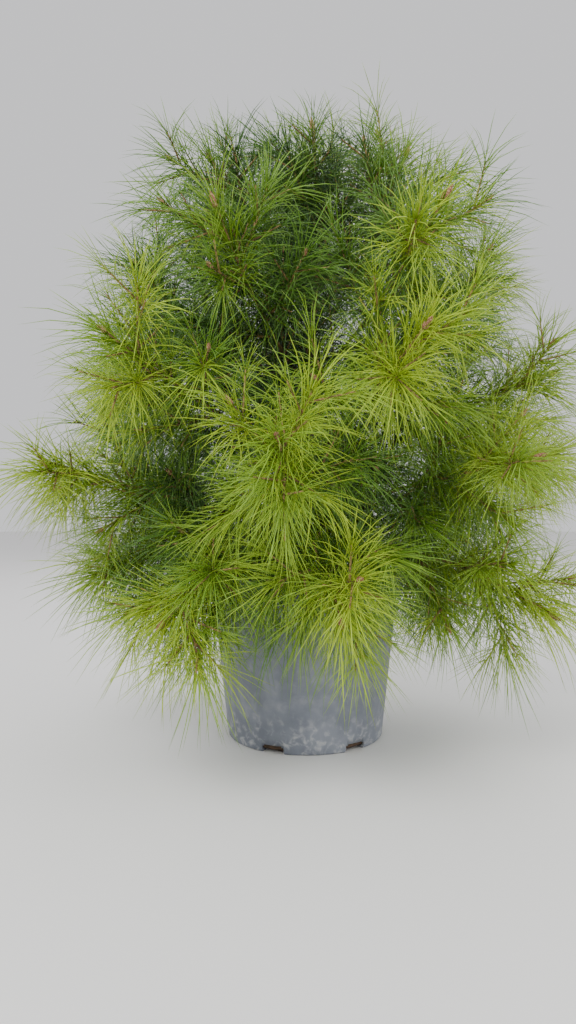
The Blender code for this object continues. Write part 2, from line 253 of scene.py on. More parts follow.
# %% Measure and turn the pot
POT_HEIGHT = 0.155
POT_BASE_RADIUS = 0.0745
POT_NECK_RADIUS = 0.0885
POT_RIM_RADIUS = 0.095
RIM_HEIGHT = 0.019
WALL = 0.0015
FLOOR = 0.0020
FOOT_ROUND = 0.0026
BEAD = 0.0012
BEAD_HEIGHT = 0.0032
POT_SIDES = 160
WALL_STEPS = 12
FOOT_ANGLES = (0.4, 0.8, 1.2)
DRAIN_COUNT = 6
DRAIN_FIRST = -24.0
DRAIN_WIDTH = 0.021
DRAIN_HEIGHT = 0.0075
DRAIN_REACH_IN = 0.013
CUTTER_OUTSIDE = 0.01
CUTTER_BEVEL = 0.09


def outward(azimuth):
    angle = math.radians(azimuth)
    return Vector((math.sin(angle), -math.cos(angle), 0.0))


def turned(profile, sides):
    """A closed mesh from a profile of radius and height that starts and ends on the axis."""
    shape = bmesh.new()
    rings = []
    for radius, height in profile:
        count = sides if radius > 0 else 1
        angles = [2 * math.pi * k / sides for k in range(count)]
        rings.append([shape.verts.new((radius * math.cos(a), radius * math.sin(a), height)) for a in angles])
    for lower, upper in zip(rings, rings[1:]):
        for k in range(sides):
            corners = [lower[k % len(lower)], lower[(k + 1) % len(lower)]]
            corners += [upper[(k + 1) % len(upper)], upper[k % len(upper)]]
            shape.faces.new(dict.fromkeys(corners))
    bmesh.ops.recalc_face_normals(shape, faces=shape.faces)
    mesh = bpy.data.meshes.new("turned")
    shape.to_mesh(mesh)
    shape.free()
    return mesh


def pot_profile():
    """From the middle of the underside, up the outside, over the rim and down to the inner floor."""
    shoulder = POT_HEIGHT - RIM_HEIGHT
    corner = [(0.0, 0.0), (POT_BASE_RADIUS - FOOT_ROUND, 0.0)]
    corner += [(POT_BASE_RADIUS - FOOT_ROUND * (1 - math.sin(a)), FOOT_ROUND * (1 - math.cos(a)))
               for a in FOOT_ANGLES]
    wall = []
    for i in range(WALL_STEPS + 1):
        share = i / WALL_STEPS
        radius = POT_BASE_RADIUS + (POT_NECK_RADIUS - POT_BASE_RADIUS) * share
        wall.append((radius, FOOT_ROUND + (shoulder - WALL - FOOT_ROUND) * share))
    rim = [(POT_RIM_RADIUS - BEAD - 0.0006, shoulder - 0.0002), (POT_RIM_RADIUS - BEAD, shoulder + 0.0007),
           (POT_RIM_RADIUS - BEAD, POT_HEIGHT - BEAD_HEIGHT - BEAD),
           (POT_RIM_RADIUS - 0.0002, POT_HEIGHT - BEAD_HEIGHT),
           (POT_RIM_RADIUS, POT_HEIGHT - 0.0009), (POT_RIM_RADIUS - 0.0006, POT_HEIGHT),
           (POT_RIM_RADIUS - WALL, POT_HEIGHT - 0.0004), (POT_RIM_RADIUS - WALL, POT_HEIGHT - BEAD_HEIGHT),
           (POT_RIM_RADIUS - BEAD - WALL, shoulder + WALL)]
    inside = [(POT_NECK_RADIUS - WALL, shoulder), (POT_BASE_RADIUS - WALL, FLOOR + FOOT_ROUND),
              (POT_BASE_RADIUS - WALL - FOOT_ROUND, FLOOR), (0.0, FLOOR)]
    return corner + wall + rim + inside


def cut_notches(body):
    """Cuts the drain notches through the corner where the wall meets the floor."""
    cutters = []
    for k in range(DRAIN_COUNT):
        azimuth = DRAIN_FIRST + 360 * k / DRAIN_COUNT
        shape = bmesh.new()
        bmesh.ops.create_cube(shape, size=1)
        bmesh.ops.bevel(shape, geom=[e for e in shape.edges], offset=CUTTER_BEVEL, segments=2, affect="EDGES")
        mesh = bpy.data.meshes.new("notch")
        shape.to_mesh(mesh)
        shape.free()
        cutter = bpy.data.objects.new(f"notch_{k + 1}", mesh)
        cutter.scale = (DRAIN_WIDTH, DRAIN_REACH_IN + CUTTER_OUTSIDE, 2 * DRAIN_HEIGHT)
        cutter.location = outward(azimuth) * (POT_BASE_RADIUS + (CUTTER_OUTSIDE - DRAIN_REACH_IN) / 2)
        cutter.rotation_euler.z = math.radians(azimuth)
        scene.collection.objects.link(cutter)
        cut = body.modifiers.new(cutter.name, "BOOLEAN")
        cut.operation, cut.object = "DIFFERENCE", cutter
        cutters.append(cutter)
    cut_mesh = bpy.data.meshes.new_from_object(body.evaluated_get(bpy.context.evaluated_depsgraph_get()))
    for spare in [body, *cutters]:
        bpy.data.objects.remove(spare)
    return cut_mesh


blank = bpy.data.objects.new("pot_blank", turned(pot_profile(), POT_SIDES))
scene.collection.objects.link(blank)
pot_mesh = cut_notches(blank)
print("pot", POT_HEIGHT, "m high,", DRAIN_COUNT, "notches")

# %% [markdown]
# ### Grey plastic
# Old nursery plastic is slate grey with a little blue, dull and uneven. Dust lies on it in soft clouds,
# water and lime leave pale streaks that run down, and the foot is scuffed almost white round the notches.

# %% Finish the pot
plastic = Finish("dusty_grey_plastic", roughness=0.55)
clouds = plastic.noise(38, 5)
streaks = plastic.noise(60, 4, stretch=(1, 1, 0.12))
scuffs = plastic.noise(150, 6, distortion=0.6)
foot = 1 - plastic.height().ramp(0.004, 0.040)
wear = scuffs.ramp(0.46, 0.78) * (foot * 0.6 + 0.10)
dull = plastic.mix(clouds.ramp(0.35, 0.7), (0.145, 0.160, 0.195), (0.215, 0.232, 0.270))
streaked = plastic.mix(streaks.ramp(0.55, 0.8) * 0.45, dull, (0.36, 0.38, 0.42))
plastic.set(**{
    "Base Color": plastic.mix(wear, streaked, (0.58, 0.58, 0.57)),
    "Roughness": 0.45 + clouds * 0.3,
    "Normal": plastic.bump(scuffs * 0.4 + streaks * 0.6, 0.0004, 0.6),
})
add_piece("nursery_pot", pot_mesh, plastic.material, ["pot"])

# %% [markdown]
# ## The compost
# Potting compost is a dark, crumbly bed of bark chips. The bed is a turned form whose top is roughened by
# noise. Loose crumbs are scattered on it with Geometry Nodes at the end, with the same tree as the buds.

# %% Model the compost bed
GAP = 0.0003
SOIL_TOP = 0.1405
SOIL_DISH = 0.0025
SOIL_LEVEL_RADIUS = 0.030
SOIL_RINGS = 34
SOIL_ROUGHNESS = 0.0016
LUMPS_PER_METRE = 120
GRAINS_PER_METRE = 420
CLEAR = 0.0005


def soil_height(radius):
    share = max(radius - SOIL_LEVEL_RADIUS, 0) / (POT_RIM_RADIUS - SOIL_LEVEL_RADIUS)
    return SOIL_TOP - SOIL_DISH * share - SOIL_ROUGHNESS


shoulder = POT_HEIGHT - RIM_HEIGHT
edge = POT_RIM_RADIUS - BEAD - WALL - GAP
top = [(edge * i / SOIL_RINGS, soil_height(edge * i / SOIL_RINGS)) for i in range(SOIL_RINGS + 1)]
wall = [(edge, shoulder + WALL + CLEAR), (POT_NECK_RADIUS - WALL - GAP, shoulder + CLEAR),
        (POT_BASE_RADIUS - WALL - GAP, FLOOR + FOOT_ROUND + GAP),
        (POT_BASE_RADIUS - WALL - FOOT_ROUND - GAP, FLOOR + GAP), (0.0, FLOOR + GAP)]
soil_mesh = turned(top + wall, POT_SIDES)
for vertex in soil_mesh.vertices:
    if vertex.co.z > shoulder + WALL + 2 * CLEAR:
        rough = noise.fractal(vertex.co * LUMPS_PER_METRE, 1.0, 2.0, 5)
        rough += noise.noise(vertex.co * GRAINS_PER_METRE) * 0.5
        vertex.co.z += SOIL_ROUGHNESS * max(-1.0, min(rough, 1.0))

compost = Finish("bark_compost", roughness=0.95)
chips = compost.cells(260)
damp = compost.noise(70, 5)
earth = compost.mix(damp, (0.018, 0.011, 0.007), (0.085, 0.052, 0.030))
compost.set(**{
    "Base Color": compost.mix(chips.ramp(0.1, 0.9) * 0.5, earth, (0.14, 0.085, 0.048)),
    "Normal": compost.bump(chips + damp, 0.0012),
})
add_piece("compost_bed", soil_mesh, compost.material, ["soil"])

# %% [markdown]
# ## How the tree grows
# The trunk sways and leans a little, and was pruned at its top. Branches leave it in five tiers. Each
# branch starts as a bare bough and ends in a mass of needles, with side twigs at the golden angle. The
# same rule and the same seed made the measured model, so every limb here lies on its solid.

# %% Grow the trunk and the branches
TRUNK_TOP = 0.462
TRUNK_RADIUS = 0.0066
TRUNK_TIP_RADIUS = 0.0024
FLARE_RADIUS = 0.0034
FLARE_HEIGHT = 0.014
TRUNK_LEAN = Vector((0.012, -0.004, 0.0))
TRUNK_SWAY = 0.0035
BARE_SHARE = 0.30
BRANCH_STEPS = 15
BOUGH_TAPER = 0.62
KNEE_SHARE = 0.46
KNEE_RISE = 0.18
SEED = 41
TOP_REACH = Vector((-0.012, 0.004, 0.090))
TIERS = (  # name, azimuths, start, reach, tip, crest, radius, droop
    ("skirt", (-90, -36, 8, 62, 125, 198), 0.172, 0.208, 0.140, 0.036, 0.0030, 0.50),
    ("low", (-74, -8, 48, 98, 160, 232), 0.205, 0.232, 0.265, 0.016, 0.0030, 0.24),
    ("middle", (-100, -42, 16, 80, 190), 0.262, 0.216, 0.345, 0.012, 0.0027, 0.12),
    ("upper", (-88, -26, 34, 100, 190), 0.335, 0.172, 0.452, 0.006, 0.0023, 0.05),
    ("crown", (-76, 66, 186), 0.412, 0.094, 0.540, 0.004, 0.0020, 0.0),
)


def bezier(a, b, c, steps):
    """Points of the quadratic curve from a to c, drawn towards b."""
    shares = [i / steps for i in range(steps + 1)]
    return [a * (1 - t) ** 2 + b * (2 * t * (1 - t)) + c * t**2 for t in shares]


def along(points, share):
    """The point and the direction at a share of a path."""
    place = min(max(share, 0.0), 1.0) * (len(points) - 1)
    i = min(int(place), len(points) - 2)
    step = points[i + 1] - points[i]
    return points[i] + step * (place - i), step.normalized()


def part_of(points, first, last, steps):
    return [along(points, first + (last - first) * i / steps)[0] for i in range(steps + 1)]


def trunk_point(height):
    share = (height - SOIL_TOP) / (TRUNK_TOP - SOIL_TOP)
    sway = TRUNK_SWAY * math.sin(2.3 * math.pi * share) * share
    return Vector((sway, sway * 0.6, height)) + TRUNK_LEAN * max(share, 0) ** 1.6


def trunk_radius(height):
    share = max(height - SOIL_TOP, 0) / (TRUNK_TOP - SOIL_TOP)
    flare = FLARE_RADIUS * math.exp(-(height - SOIL_TOP) / FLARE_HEIGHT)
    return TRUNK_RADIUS + (TRUNK_TIP_RADIUS - TRUNK_RADIUS) * share**0.85 + flare


class Branch:
    """A branch's whole path, its bare bough and the stem inside its needles."""

    def __init__(self, name, path, radius, droop, seed, bare=BARE_SHARE):
        self.name, self.path, self.radius, self.droop, self.seed = name, path, radius, droop, seed
        length = sum((b - a).length for a, b in zip(path, path[1:]))
        self.bough = part_of(path, 0.0, bare, 8) if bare else None
        self.stem = part_of(path, bare + GAP / length if bare else 0.0, 1.0, 6)
        self.stem_radius = radius * BOUGH_TAPER if bare else radius


def grow_branches():
    branches = []
    for number, (tier, azimuths, start, reach, tip_height, crest, radius, droop) in enumerate(TIERS):
        for k, azimuth in enumerate(azimuths):
            draw = random.Random(SEED + 100 * number + k)
            side = outward(azimuth + draw.uniform(-4, 4))
            height = start + draw.uniform(-0.010, 0.010)
            far = reach * draw.uniform(0.93, 1.07)
            tip = side * far + TRUNK_LEAN * 0.5
            tip.z = tip_height + draw.uniform(-0.014, 0.014)
            run = far * KNEE_SHARE
            rise = crest + KNEE_RISE * (tip.z - height)
            tilt = radius * abs(rise) / math.hypot(run, rise)
            foot = trunk_point(height) + side * (trunk_radius(height) + GAP + tilt)
            path = bezier(foot, foot + side * run + Vector((0, 0, rise)), tip, BRANCH_STEPS)
            branches.append(Branch(f"{tier}_{k + 1}", path, radius, droop, draw.random()))
    rising = (trunk_point(TRUNK_TOP) - trunk_point(TRUNK_TOP - TRUNK_RADIUS)).normalized()
    head = trunk_point(TRUNK_TOP) + rising * GAP
    path = bezier(head, head + rising * (TOP_REACH.z / 2), head + TOP_REACH, BRANCH_STEPS)
    branches.append(Branch("top_1", path, TRUNK_TIP_RADIUS * 0.9, 0.0, 0.5, bare=0.0))
    return branches


branches = grow_branches()
print(len(branches), "branches in", len(TIERS), "tiers and at the top")

# %% [markdown]
# ## Twigs
# A branch of a young pine ends in its own leader and carries side shoots round it, and these carry
# shorter shoots. Three orders are enough to fill a mass. A shoot is kept as a bowed path with what its
# needles need: their length, and how deep in the crown it stands, which sets their green: painted shade
# in the middle and painted light at the edge.

# %% Grow the shoots
GOLDEN_ANGLE = 137.5
CROWN_CORE = (0.22, 0.42)
LOWEST_TIP = 0.045
POT_MARGIN = 0.006
TWIGS = 7
TWIG_LENGTH = 0.080
TWIG_LEAN = 50.0
TWIG_LIFT = 0.16
SHORT_TWIGS = 5
SHORT_LENGTH = 0.036
SHORT_LEAN = 46.0
LEADER_START = 0.30
LONG_NEEDLE = 0.068
SHORT_NEEDLE = 0.046
INNER_LENGTH = 0.040
INNER_LEAN = 58.0
INNER_SHARES = (0.30, 0.52, 0.74, 0.95)
TRUNK_SHOOTS = 14
TRUNK_SHOOTS_FROM = 0.235
TRUNK_SHOOTS_REACH = 0.215
SHOOT_STEPS = 6


class Shoot:
    """A path that carries needles."""

    def __init__(self, path, needle, radius, order):
        self.path, self.needle, self.radius, self.order = path, needle, radius, order
        tip = path[-1]
        axis = Vector((0, 0, min(max(tip.z, CROWN_CORE[0]), CROWN_CORE[1])))
        # The depth from the crown's axis picks the painted light or painted shade of this shoot's needles.
        self.depth = (tip - axis).length


def leaning(direction, lean, roll):
    """A direction that leans from another by one angle, turned round it by the other."""
    first = direction.cross(Vector((0.0, 0.0, 1.0)))
    if first.length < 0.1:
        first = direction.cross(Vector((1.0, 0.0, 0.0)))
    first.normalize()
    second = direction.cross(first).normalized()
    lean, roll = math.radians(lean), math.radians(roll)
    return direction * math.cos(lean) + (first * math.cos(roll) + second * math.sin(roll)) * math.sin(lean)


def free_of_pot(point):
    away = math.hypot(point.x, point.y)
    over_rim = point.z > POT_HEIGHT + 0.004 or away > POT_RIM_RADIUS + POT_MARGIN
    return point.z > LOWEST_TIP and over_rim


def shoots_of(branch):
    """The leader of a branch, its side shoots and their short shoots."""
    draw = random.Random(int(branch.seed * 1e6))
    twist = draw.uniform(0, 360)
    found = [Shoot(part_of(branch.stem, LEADER_START, 1.0, SHOOT_STEPS), LONG_NEEDLE, 0.0016, 0)]
    for k in range(TWIGS):
        share = 0.02 + 0.80 * k / (TWIGS - 1)
        foot, direction = along(branch.stem, share)
        heading = leaning(direction, TWIG_LEAN, twist + GOLDEN_ANGLE * k)
        length = TWIG_LENGTH * (1.08 - 0.45 * share) * draw.uniform(0.85, 1.0)
        end = foot + heading * length + Vector((0, 0, TWIG_LIFT - branch.droop * 0.5)) * length
        if free_of_pot(end):
            path = bezier(foot, foot + heading * length * 0.55, end, SHOOT_STEPS)
            found.append(Shoot(path, LONG_NEEDLE * draw.uniform(0.85, 1.0), 0.0013, 1))
    for parent in list(found):
        spin = draw.uniform(0, 360)
        for k in range(SHORT_TWIGS):
            foot, direction = along(parent.path, 0.12 + 0.68 * k / (SHORT_TWIGS - 1))
            heading = leaning(direction, SHORT_LEAN, spin + GOLDEN_ANGLE * k)
            length = SHORT_LENGTH * draw.uniform(0.7, 1.1)
            end = foot + heading * length
            if free_of_pot(end):
                path = bezier(foot, foot + heading * length * 0.6, end, SHOOT_STEPS)
                found.append(Shoot(path, SHORT_NEEDLE * draw.uniform(0.8, 1.15), 0.0009, 2))
    return found


def inner_shoots():
    """Short shoots on the boughs and the trunk, which keep the crown's middle dark."""
    draw = random.Random(SEED + 1)
    feet = []
    for branch in branches:
        if branch.bough:
            feet += [along(branch.bough, share) for share in INNER_SHARES]
    heights = [TRUNK_SHOOTS_FROM + TRUNK_SHOOTS_REACH * k / (TRUNK_SHOOTS - 1) for k in range(TRUNK_SHOOTS)]
    feet += [(trunk_point(z), Vector((0, 0, 1))) for z in heights]
    found = []
    for k, (foot, direction) in enumerate(feet):
        heading = leaning(direction, INNER_LEAN, GOLDEN_ANGLE * k)
        end = foot + heading * INNER_LENGTH * draw.uniform(0.8, 1.25)
        if free_of_pot(end + heading * SHORT_NEEDLE * 0.5):
            path = bezier(foot, (foot + end) / 2, end, SHOOT_STEPS)
            found.append(Shoot(path, SHORT_NEEDLE * draw.uniform(0.9, 1.2), 0.0010, 3))
    return found


shoots = [shoot for branch in branches for shoot in shoots_of(branch)] + inner_shoots()
print(len(shoots), "shoots")

# %% [markdown]
# ## Bark
# Young pine bark is thin and orange brown, with flat scales that lift at their edges on the trunk. Limbs
# are swept tubes. The trunk and the boughs get a fine mesh whose points are moved by noise, so that the
# scales show in the outline, and the shoots are plain slim tubes.


# %% Sweep the limbs
def frames_of(points):
    """Two side directions at every point of a path, carried along without twist."""
    directions = [(points[min(i + 1, len(points) - 1)] - points[max(i - 1, 0)]).normalized()
                  for i in range(len(points))]
    side = directions[0].orthogonal().normalized()
    sides = []
    for direction in directions:
        side = (side - direction * side.dot(direction)).normalized()
        sides.append((side, direction.cross(side)))
    return sides


def sweep(shape, points, radii, sides, relief=0.0):
    """Adds a closed tube to a bmesh."""
    rings = []
    for (point, radius), (first, second) in zip(zip(points, radii), frames_of(points)):
        ring = []
        for k in range(sides):
            angle = 2 * math.pi * k / sides
            away = first * math.cos(angle) + second * math.sin(angle)
            lift = 0.0
            if relief:
                stretched = Vector((away.x * radius, away.y * radius, point.z * 0.45)) * 480
                lift = relief * (abs(noise.fractal(stretched, 1.0, 2.0, 4)) - 0.25)
            ring.append(shape.verts.new(point + away * (radius + lift)))
        rings.append(ring)
    for lower, upper in zip(rings, rings[1:]):
        for k in range(sides):
            shape.faces.new((lower[k], lower[(k + 1) % sides], upper[(k + 1) % sides], upper[k]))
    shape.faces.new(rings[0][::-1])
    shape.faces.new(rings[-1])


def tapered(first, last, count):
    return [first + (last - first) * i / (count - 1) for i in range(count)]


TRUNK_RINGS = 150
TRUNK_SIDES = 28
TRUNK_RELIEF = 0.0011
BOUGH_RINGS = 25
BOUGH_SIDES = 10
BOUGH_RELIEF = 0.0004
STEM_SIDES = 7
STEM_TIP_RADIUS = 0.0010
SHOOT_SIDES = 5
SHOOT_TAPER = 0.55

limbs = bmesh.new()
heights = [SOIL_TOP + GAP + (TRUNK_TOP - SOIL_TOP) * i / (TRUNK_RINGS - 1) for i in range(TRUNK_RINGS)]
sweep(limbs, [trunk_point(z) for z in heights], [trunk_radius(z) for z in heights], TRUNK_SIDES, TRUNK_RELIEF)
for branch in branches:
    if branch.bough:
        path = part_of(branch.path, 0.0, BARE_SHARE, BOUGH_RINGS - 1)
        radii = tapered(branch.radius, branch.radius * BOUGH_TAPER, BOUGH_RINGS)
        sweep(limbs, path, radii, BOUGH_SIDES, BOUGH_RELIEF)
limb_mesh = bpy.data.meshes.new("limbs")
limbs.to_mesh(limb_mesh)
limbs.free()

bark = Finish("scaly_bark", roughness=0.88)
scales = bark.cells(420, stretch=(1, 1, 0.5))
grain = bark.noise(190, 6, stretch=(1, 1, 0.4))
warm = bark.mix(grain.ramp(0.3, 0.7), (0.115, 0.060, 0.030), (0.330, 0.180, 0.085))
bark.set(**{
    "Base Color": bark.mix(scales.ramp(0.35, 0.75) * 0.6, warm, (0.36, 0.27, 0.19)),
    "Normal": bark.bump(scales + grain * 0.5, 0.0010),
})
add_piece("bark_limbs", limb_mesh, bark.material, nodes_named("trunk", "bough"))

stalks = bmesh.new()
for branch in branches:
    radii = tapered(branch.stem_radius, STEM_TIP_RADIUS, len(branch.stem))
    sweep(stalks, branch.stem, radii, STEM_SIDES)
for shoot in shoots:
    radii = tapered(shoot.radius, shoot.radius * SHOOT_TAPER, len(shoot.path))
    sweep(stalks, shoot.path, radii, SHOOT_SIDES)
stalk_mesh = bpy.data.meshes.new("stalks")
stalks.to_mesh(stalk_mesh)
stalks.free()
young_bark = Finish("young_twig_bark", roughness=0.8)
scars = young_bark.noise(300, 4, stretch=(1, 1, 0.6))
young_bark.set(**{
    "Base Color": young_bark.mix(scars.ramp(0.35, 0.65), (0.150, 0.090, 0.036), (0.370, 0.240, 0.090)),
    "Normal": young_bark.bump(scars, 0.0004),
})
add_piece("twig_bark", stalk_mesh, young_bark.material)

# %% [markdown]
# ## Needles
# An aleppo pine's needles stand in pairs: each is a thin stiff thread up to 90 mm long and 1 mm wide,
# which arches out of a short sheath. One pair is modelled with three-sided needles of three segments, and
# it carries a value from 0 at its foot to 1 at its tip. Geometry Nodes then sets pairs along every shoot.

# %% Model one pair of needles
NEEDLE_WIDTH = 0.00100
NEEDLE_SEGMENTS = 3
NEEDLE_ARCH = 0.13
PAIR_SPREAD = 9.0
SEGMENT_WIDTHS = (0.5, 0.5, 0.42)


def needle_pair():
    """Two unit-long needles along +Z, which the tree scales evenly to their real length."""
    corners, faces, shares = [], [], []
    for side in (-1, 1):
        first = len(corners)
        tilt = math.radians(PAIR_SPREAD) * side
        for i in range(NEEDLE_SEGMENTS):
            share = i / NEEDLE_SEGMENTS
            bow = NEEDLE_ARCH * share**2
            width = NEEDLE_WIDTH / LONG_NEEDLE * SEGMENT_WIDTHS[i]
            for k in range(3):
                angle = 2 * math.pi * k / 3
                corners.append((math.cos(angle) * width + bow + math.sin(tilt) * share * 0.3,
                                math.sin(angle) * width + math.sin(tilt) * share, share))
                shares.append(share)
        corners.append((NEEDLE_ARCH + math.sin(tilt) * 0.3, math.sin(tilt), 1.0))
        shares.append(1.0)
        for i in range(NEEDLE_SEGMENTS - 1):
            low, high = first + 3 * i, first + 3 * i + 3
            faces += [(low + k, low + (k + 1) % 3, high + (k + 1) % 3, high + k) for k in range(3)]
        last = first + 3 * (NEEDLE_SEGMENTS - 1)
        faces += [(last + k, last + (k + 1) % 3, last + 3) for k in range(3)]
        faces.append((first + 2, first + 1, first))
    mesh = bpy.data.meshes.new("needle_pair")
    mesh.from_pydata(corners, [], faces)
    mesh.attributes.new("along", "FLOAT", "POINT").data.foreach_set("value", shares)
    pair = bpy.data.objects.new("needle_pair", mesh)
    scene.collection.objects.link(pair)
    return pair


pair = needle_pair()
print("one pair has", sum(len(p.vertices) - 2 for p in pair.data.polygons), "triangles")

# %% [markdown]
# ### The spray tree
# The tree takes shoots as bare edges with two values on their points: the share along the shoot and the
# length of its needles. It turns them to curves, takes evenly spaced points, and puts a pair on each. The
# pair turns by the golden angle from the one before, and leans wide at the shoot's foot and close at its
# tip. Last, every point of a needle sinks by the square of its share, as a thin thread sags.


# %% Build the spray tree
class Tree:
    """A Geometry Nodes tree with named inputs, written as calls."""

    def __init__(self, name, inputs):
        self.tree = bpy.data.node_groups.new(name, "GeometryNodeTree")
        self.tree.interface.new_socket("Geometry", in_out="INPUT", socket_type="NodeSocketGeometry")
        self.keys = {}
        for label, kind in inputs.items():
            socket = self.tree.interface.new_socket(label, in_out="INPUT", socket_type="NodeSocket" + kind)
            self.keys[label] = socket.identifier
        self.tree.interface.new_socket("Geometry", in_out="OUTPUT", socket_type="NodeSocketGeometry")
        self.inputs = self.tree.nodes.new("NodeGroupInput").outputs
        self.end = self.tree.nodes.new("NodeGroupOutput").inputs[0]

    def node(self, kind, settings=None, sockets=None, output=0):
        made = self.tree.nodes.new(kind)
        for name, value in (settings or {}).items():
            setattr(made, name, value)
        for name, value in (sockets or {}).items():
            if isinstance(value, bpy.types.NodeSocket):
                self.tree.links.new(value, made.inputs[name])
            else:
                made.inputs[name].default_value = value
        return made.outputs[output]

    def maths(self, operation, *values):
        return self.node("ShaderNodeMath", {"operation": operation}, dict(enumerate(values)))

    def attribute(self, name):
        return self.node("GeometryNodeInputNamedAttribute", {"data_type": "FLOAT"}, {"Name": name})

    def spread(self, low, high, seed):
        """A random number between two others for each element."""
        sockets = {2: low, 3: high, "Seed": seed}
        return self.node("FunctionNodeRandomValue", {"data_type": "FLOAT"}, sockets, output=1)

    def turn(self, rotation, axis, angle):
        """A rotation turned about one of its own axes."""
        by = self.node("FunctionNodeAxisAngleToRotation", {}, {"Axis": axis, "Angle": angle})
        return self.node("FunctionNodeRotateRotation", {"rotation_space": "LOCAL"},
                         {"Rotation": rotation, "Rotate By": by})


def spray_tree():
    t = Tree("needle_spray", {"Pair": "Object", "Spacing": "Float", "Foot lean": "Float",
                              "Tip lean": "Float", "Lean spread": "Float", "Sag": "Float",
                              "Seed": "Int", "Finish": "Material"})
    given = t.inputs
    curve = t.node("GeometryNodeMeshToCurve", {}, {"Mesh": given["Geometry"]})
    points_node = t.tree.nodes.new("GeometryNodeCurveToPoints")
    points_node.mode = "LENGTH"
    t.tree.links.new(curve, points_node.inputs["Curve"])
    t.tree.links.new(given["Spacing"], points_node.inputs["Length"])
    points, tangent = points_node.outputs["Points"], points_node.outputs["Tangent"]
    share, length = t.attribute("share"), t.attribute("needle")
    number = t.node("GeometryNodeInputIndex")
    facing = t.node("FunctionNodeAlignRotationToVector", {"axis": "Z"}, {"Vector": tangent})
    roll = t.maths("ADD", t.maths("MULTIPLY", number, math.radians(GOLDEN_ANGLE)),
                   t.spread(-0.35, 0.35, given["Seed"]))
    range_of_lean = t.maths("SUBTRACT", given["Tip lean"], given["Foot lean"])
    lean = t.maths("ADD", t.maths("MULTIPLY", share, range_of_lean), given["Foot lean"])
    other_seed = t.maths("ADD", given["Seed"], 7)
    stray = t.maths("MULTIPLY", t.spread(-1.0, 1.0, other_seed), given["Lean spread"])
    rotation = t.turn(facing, (0, 0, 1), roll)
    rotation = t.turn(rotation, (0, 1, 0), t.maths("ADD", lean, stray))
    stretch = t.maths("MULTIPLY", length, t.spread(0.60, 1.06, t.maths("ADD", given["Seed"], 13)))
    size = t.node("ShaderNodeCombineXYZ", {}, {0: stretch, 1: stretch, 2: stretch})
    shape = t.node("GeometryNodeObjectInfo", {}, {"Object": given["Pair"]}, output="Geometry")
    placed = t.node("GeometryNodeInstanceOnPoints", {},
                    {"Points": points, "Instance": shape, "Rotation": rotation, "Scale": size})
    real = t.node("GeometryNodeRealizeInstances", {}, {"Geometry": placed})
    sag = t.maths("MULTIPLY", t.maths("POWER", t.attribute("along"), 2.0), t.attribute("needle"))
    drop = t.maths("MULTIPLY", t.maths("MULTIPLY", sag, given["Sag"]), -1.0)
    offset = t.node("ShaderNodeCombineXYZ", {}, {2: drop})
    sagged = t.node("GeometryNodeSetPosition", {}, {"Geometry": real, "Offset": offset})
    done = t.node("GeometryNodeSetMaterial", {}, {"Geometry": sagged, "Material": given["Finish"]})
    t.tree.links.new(done, t.end)
    return t


spray = spray_tree()
print("spray inputs:", ", ".join(spray.keys))


# %% Run the tree on a group of shoots
def dress(name, group, material, seed, sag, spacing, leans):
    """One mesh with the needles of a group of shoots. The leans are in degrees: foot, tip and spread."""
    corners, edges, shares, lengths = [], [], [], []
    for shoot in group:
        first = len(corners)
        corners += shoot.path
        edges += [(first + i, first + i + 1) for i in range(len(shoot.path) - 1)]
        shares += [i / (len(shoot.path) - 1) for i in range(len(shoot.path))]
        lengths += [shoot.needle] * len(shoot.path)
    mesh = bpy.data.meshes.new(name)
    mesh.from_pydata(corners, edges, [])
    mesh.attributes.new("share", "FLOAT", "POINT").data.foreach_set("value", shares)
    mesh.attributes.new("needle", "FLOAT", "POINT").data.foreach_set("value", lengths)
    carrier = bpy.data.objects.new(name, mesh)
    scene.collection.objects.link(carrier)
    grown = carrier.modifiers.new("needles", "NODES")
    grown.node_group = spray.tree
    values = {"Pair": pair, "Spacing": spacing, "Foot lean": math.radians(leans[0]),
              "Tip lean": math.radians(leans[1]), "Lean spread": math.radians(leans[2]),
              "Sag": sag, "Seed": seed, "Finish": material}
    for label, value in values.items():
        grown[spray.keys[label]] = value
    made = bpy.data.meshes.new_from_object(carrier.evaluated_get(bpy.context.evaluated_depsgraph_get()))
    bpy.data.objects.remove(carrier)
    for spare in list(made.attributes):
        if spare.name in ("share", "needle", "along"):
            made.attributes.remove(spare)
    return made


# %% [markdown]
# ### Greens
# Seen together, the needles run from a bright yellow green on the shoots that the sun reaches to a deep
# blue green inside: the bright greens are painted light and the deep ones are painted shade. Each shoot
# has one plain green, dealt out by how far it stands from the middle of the crown and by chance. The
# needles of a green are one piece.

# %% Deal the shoots to the greens and grow the needles
# Painted light and shade: lit greens at the crown's edge, darker shaded greens towards its middle.
LIT_TO_SHADED_GREENS = {  # from the crown's edge to its middle
    "bright": (0.360, 0.500, 0.024),
    "sunny": (0.290, 0.440, 0.024),
    "fresh": (0.225, 0.380, 0.024),
    "leaf": (0.165, 0.310, 0.024),
    "grass": (0.115, 0.245, 0.022),
    "moss": (0.080, 0.185, 0.020),
    "deep": (0.050, 0.130, 0.018),
    "shade": (0.026, 0.075, 0.014),
}
DRY = (0.230, 0.120, 0.045)
DRY_CHANCE = 0.10
DRY_ABOVE = 0.470
GREEN_SPRAY = {"sag": 0.22, "spacing": 0.00170, "leans": (68.0, 15.0, 15.0)}
DRY_SPRAY = {"sag": 0.45, "spacing": 0.0030, "leans": (80.0, 40.0, 30.0)}
FIRST_SEED = 10
DRY_SEED = 30
OUTER_DEPTH = 0.250
INNER_DEPTH = 0.070
CHANCE = 0.26

